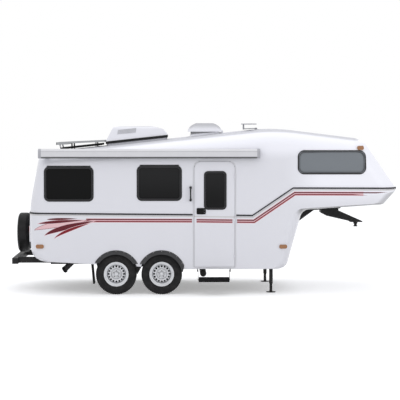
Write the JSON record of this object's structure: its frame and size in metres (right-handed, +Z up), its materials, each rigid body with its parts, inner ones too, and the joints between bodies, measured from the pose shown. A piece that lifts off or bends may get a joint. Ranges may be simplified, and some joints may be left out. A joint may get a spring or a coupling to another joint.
{
  "type": "travel trailer",
  "caption": "Fifth-wheel travel trailer: moulded two-piece body with loft over the pin box, tandem axles, entry door and step, awning, roof vent and landing legs.",
  "frame": {"origin": "on the ground under the middle of the bounding box", "axes": "+X forward to the pin box, +Y to the street side, +Z up"},
  "size_m": [6.6214, 2.4498, 2.897],
  "materials": {
    "moulded_shell": "gloss",
    "floor_board": "matte",
    "black_plastic": "satin",
    "black_rubber": "matte",
    "tinted_glass": "polished",
    "white_trim": "gloss",
    "white_aluminium": "satin",
    "grey_plastic": "satin",
    "white_plastic": "satin",
    "solar_cells": "polished",
    "black_metal": "satin",
    "bare_aluminium": "satin",
    "forged_steel": "satin",
    "spring_steel": "matte",
    "grey_plastic_dark": "satin",
    "cover_plastic": "satin",
    "zinc_steel": "satin",
    "amber_lens": "gloss",
    "red_lens": "gloss",
    "tyre": "matte",
    "silver_wheel": "gloss"
  },
  "bodies": {
    "root": {"lower_shell": "moulded_shell", "upper_shell": "moulded_shell", "floor_panel": "floor_board", "wheel_wells": "black_plastic", "belt_trim": "black_rubber", "window_frames": "black_plastic", "window_panes": "tinted_glass", "door_frame": "white_trim", "grab_handle": "black_plastic", "awning_case": "white_aluminium", "awning_end_caps": "grey_plastic", "awning_brackets": "white_trim", "air_conditioner_pan": "black_plastic", "air_conditioner_cover": "white_plastic", "vent_curb": "white_plastic", "solar_panel": "solar_cells", "solar_mount": "black_metal", "antenna_base": "grey_plastic", "frame_rails": "black_metal", "frame_cross_members": "black_metal", "gooseneck_brace": "black_metal", "pin_box": "black_metal", "landing_legs": "black_metal", "leaf_springs": "spring_steel", "spring_hangers": "black_metal", "axles": "black_metal", "wheel_flares": "grey_plastic_dark", "mud_flaps": "black_rubber", "spare_wheel": "cover_plastic", "spare_carrier": "black_metal", "bumper": "black_metal", "step_bracket": "black_metal", "waste_tank": "black_plastic", "waste_pipes": "black_plastic", "marker_lamps": "amber_lens", "tail_lamps": "red_lens", "street_hatches": "white_plastic"},
    "door": {"door_leaf": "moulded_shell", "door_window_frame": "black_plastic", "door_pane": "tinted_glass", "door_lock": "black_plastic"},
    "vent_lid": {"vent_lid": "white_plastic"},
    "antenna_arm": {"antenna_arm": "bare_aluminium"},
    "antenna_head": {"antenna_head": "grey_plastic"},
    "step_outer_link": {"step_outer_link": "zinc_steel"},
    "step_inner_link": {"step_inner_link": "zinc_steel"},
    "step_tread": {"step_tread": "black_metal"},
    "wheel_rear_curb": {"tyre_rear_curb": "tyre", "wheel_rear_curb": "silver_wheel", "hub_rear_curb": "forged_steel"},
    "wheel_rear_street": {"tyre_rear_street": "tyre", "wheel_rear_street": "silver_wheel", "hub_rear_street": "forged_steel"},
    "wheel_front_curb": {"tyre_front_curb": "tyre", "wheel_front_curb": "silver_wheel", "hub_front_curb": "forged_steel"},
    "wheel_front_street": {"tyre_front_street": "tyre", "wheel_front_street": "silver_wheel", "hub_front_street": "forged_steel"}
  },
  "joints": [
    {"name": "door_hinge", "type": "hinge", "parent": "root", "child": "door", "pos_m": [0.48857, -1.0714, 0.474], "axis": [0, 0, 1], "range_deg": [0, 150]},
    {"name": "vent_lid_hinge", "type": "hinge", "parent": "root", "child": "vent_lid", "pos_m": [0.31032, 0.0626, 2.76], "axis": [0, 1, 0], "range_deg": [-6.1, 50]},
    {"name": "antenna_lift", "type": "hinge", "parent": "root", "child": "antenna_arm", "pos_m": [0.90732, 0.0626, 2.8043], "axis": [0, 1, 0], "range_deg": [0, 85]},
    {"name": "antenna_level", "type": "hinge", "parent": "antenna_arm", "child": "antenna_head", "pos_m": [0.68532, 0.0626, 2.7963], "axis": [0, 1, 0], "range_deg": [-85, 0]},
    {"name": "step_fold", "type": "hinge", "parent": "root", "child": "step_outer_link", "pos_m": [-0.13868, -1.0494, 0.402], "axis": [1, 0, 0], "range_deg": [0, 105]},
    {"name": "step_inner_pivot", "type": "hinge", "parent": "root", "child": "step_inner_link", "pos_m": [-0.13868, -0.9294, 0.402], "axis": [1, 0, 0], "range_deg": [0, 105]},
    {"name": "step_tread_pivot", "type": "hinge", "parent": "step_outer_link", "child": "step_tread", "pos_m": [-0.13868, -1.1469, 0.26274], "axis": [1, 0, 0], "range_deg": [-105, 0]},
    {"name": "wheel_rear_curb_spin", "type": "hinge", "parent": "root", "child": "wheel_rear_curb", "pos_m": [-1.51568, -0.9199, 0.3445], "axis": [0, 1, 0], "continuous": true},
    {"name": "wheel_rear_street_spin", "type": "hinge", "parent": "root", "child": "wheel_rear_street", "pos_m": [-1.51568, 1.0451, 0.3445], "axis": [0, 1, 0], "continuous": true},
    {"name": "wheel_front_curb_spin", "type": "hinge", "parent": "root", "child": "wheel_front_curb", "pos_m": [-0.74668, -0.9199, 0.3445], "axis": [0, 1, 0], "continuous": true},
    {"name": "wheel_front_street_spin", "type": "hinge", "parent": "root", "child": "wheel_front_street", "pos_m": [-0.74668, 1.0451, 0.3445], "axis": [0, 1, 0], "continuous": true}
  ],
  "couplings": [
    {"joint": "antenna_level", "follows": "antenna_lift", "ratio": -1},
    {"joint": "step_inner_pivot", "follows": "step_fold", "ratio": 1},
    {"joint": "step_tread_pivot", "follows": "step_fold", "ratio": -1}
  ]
}
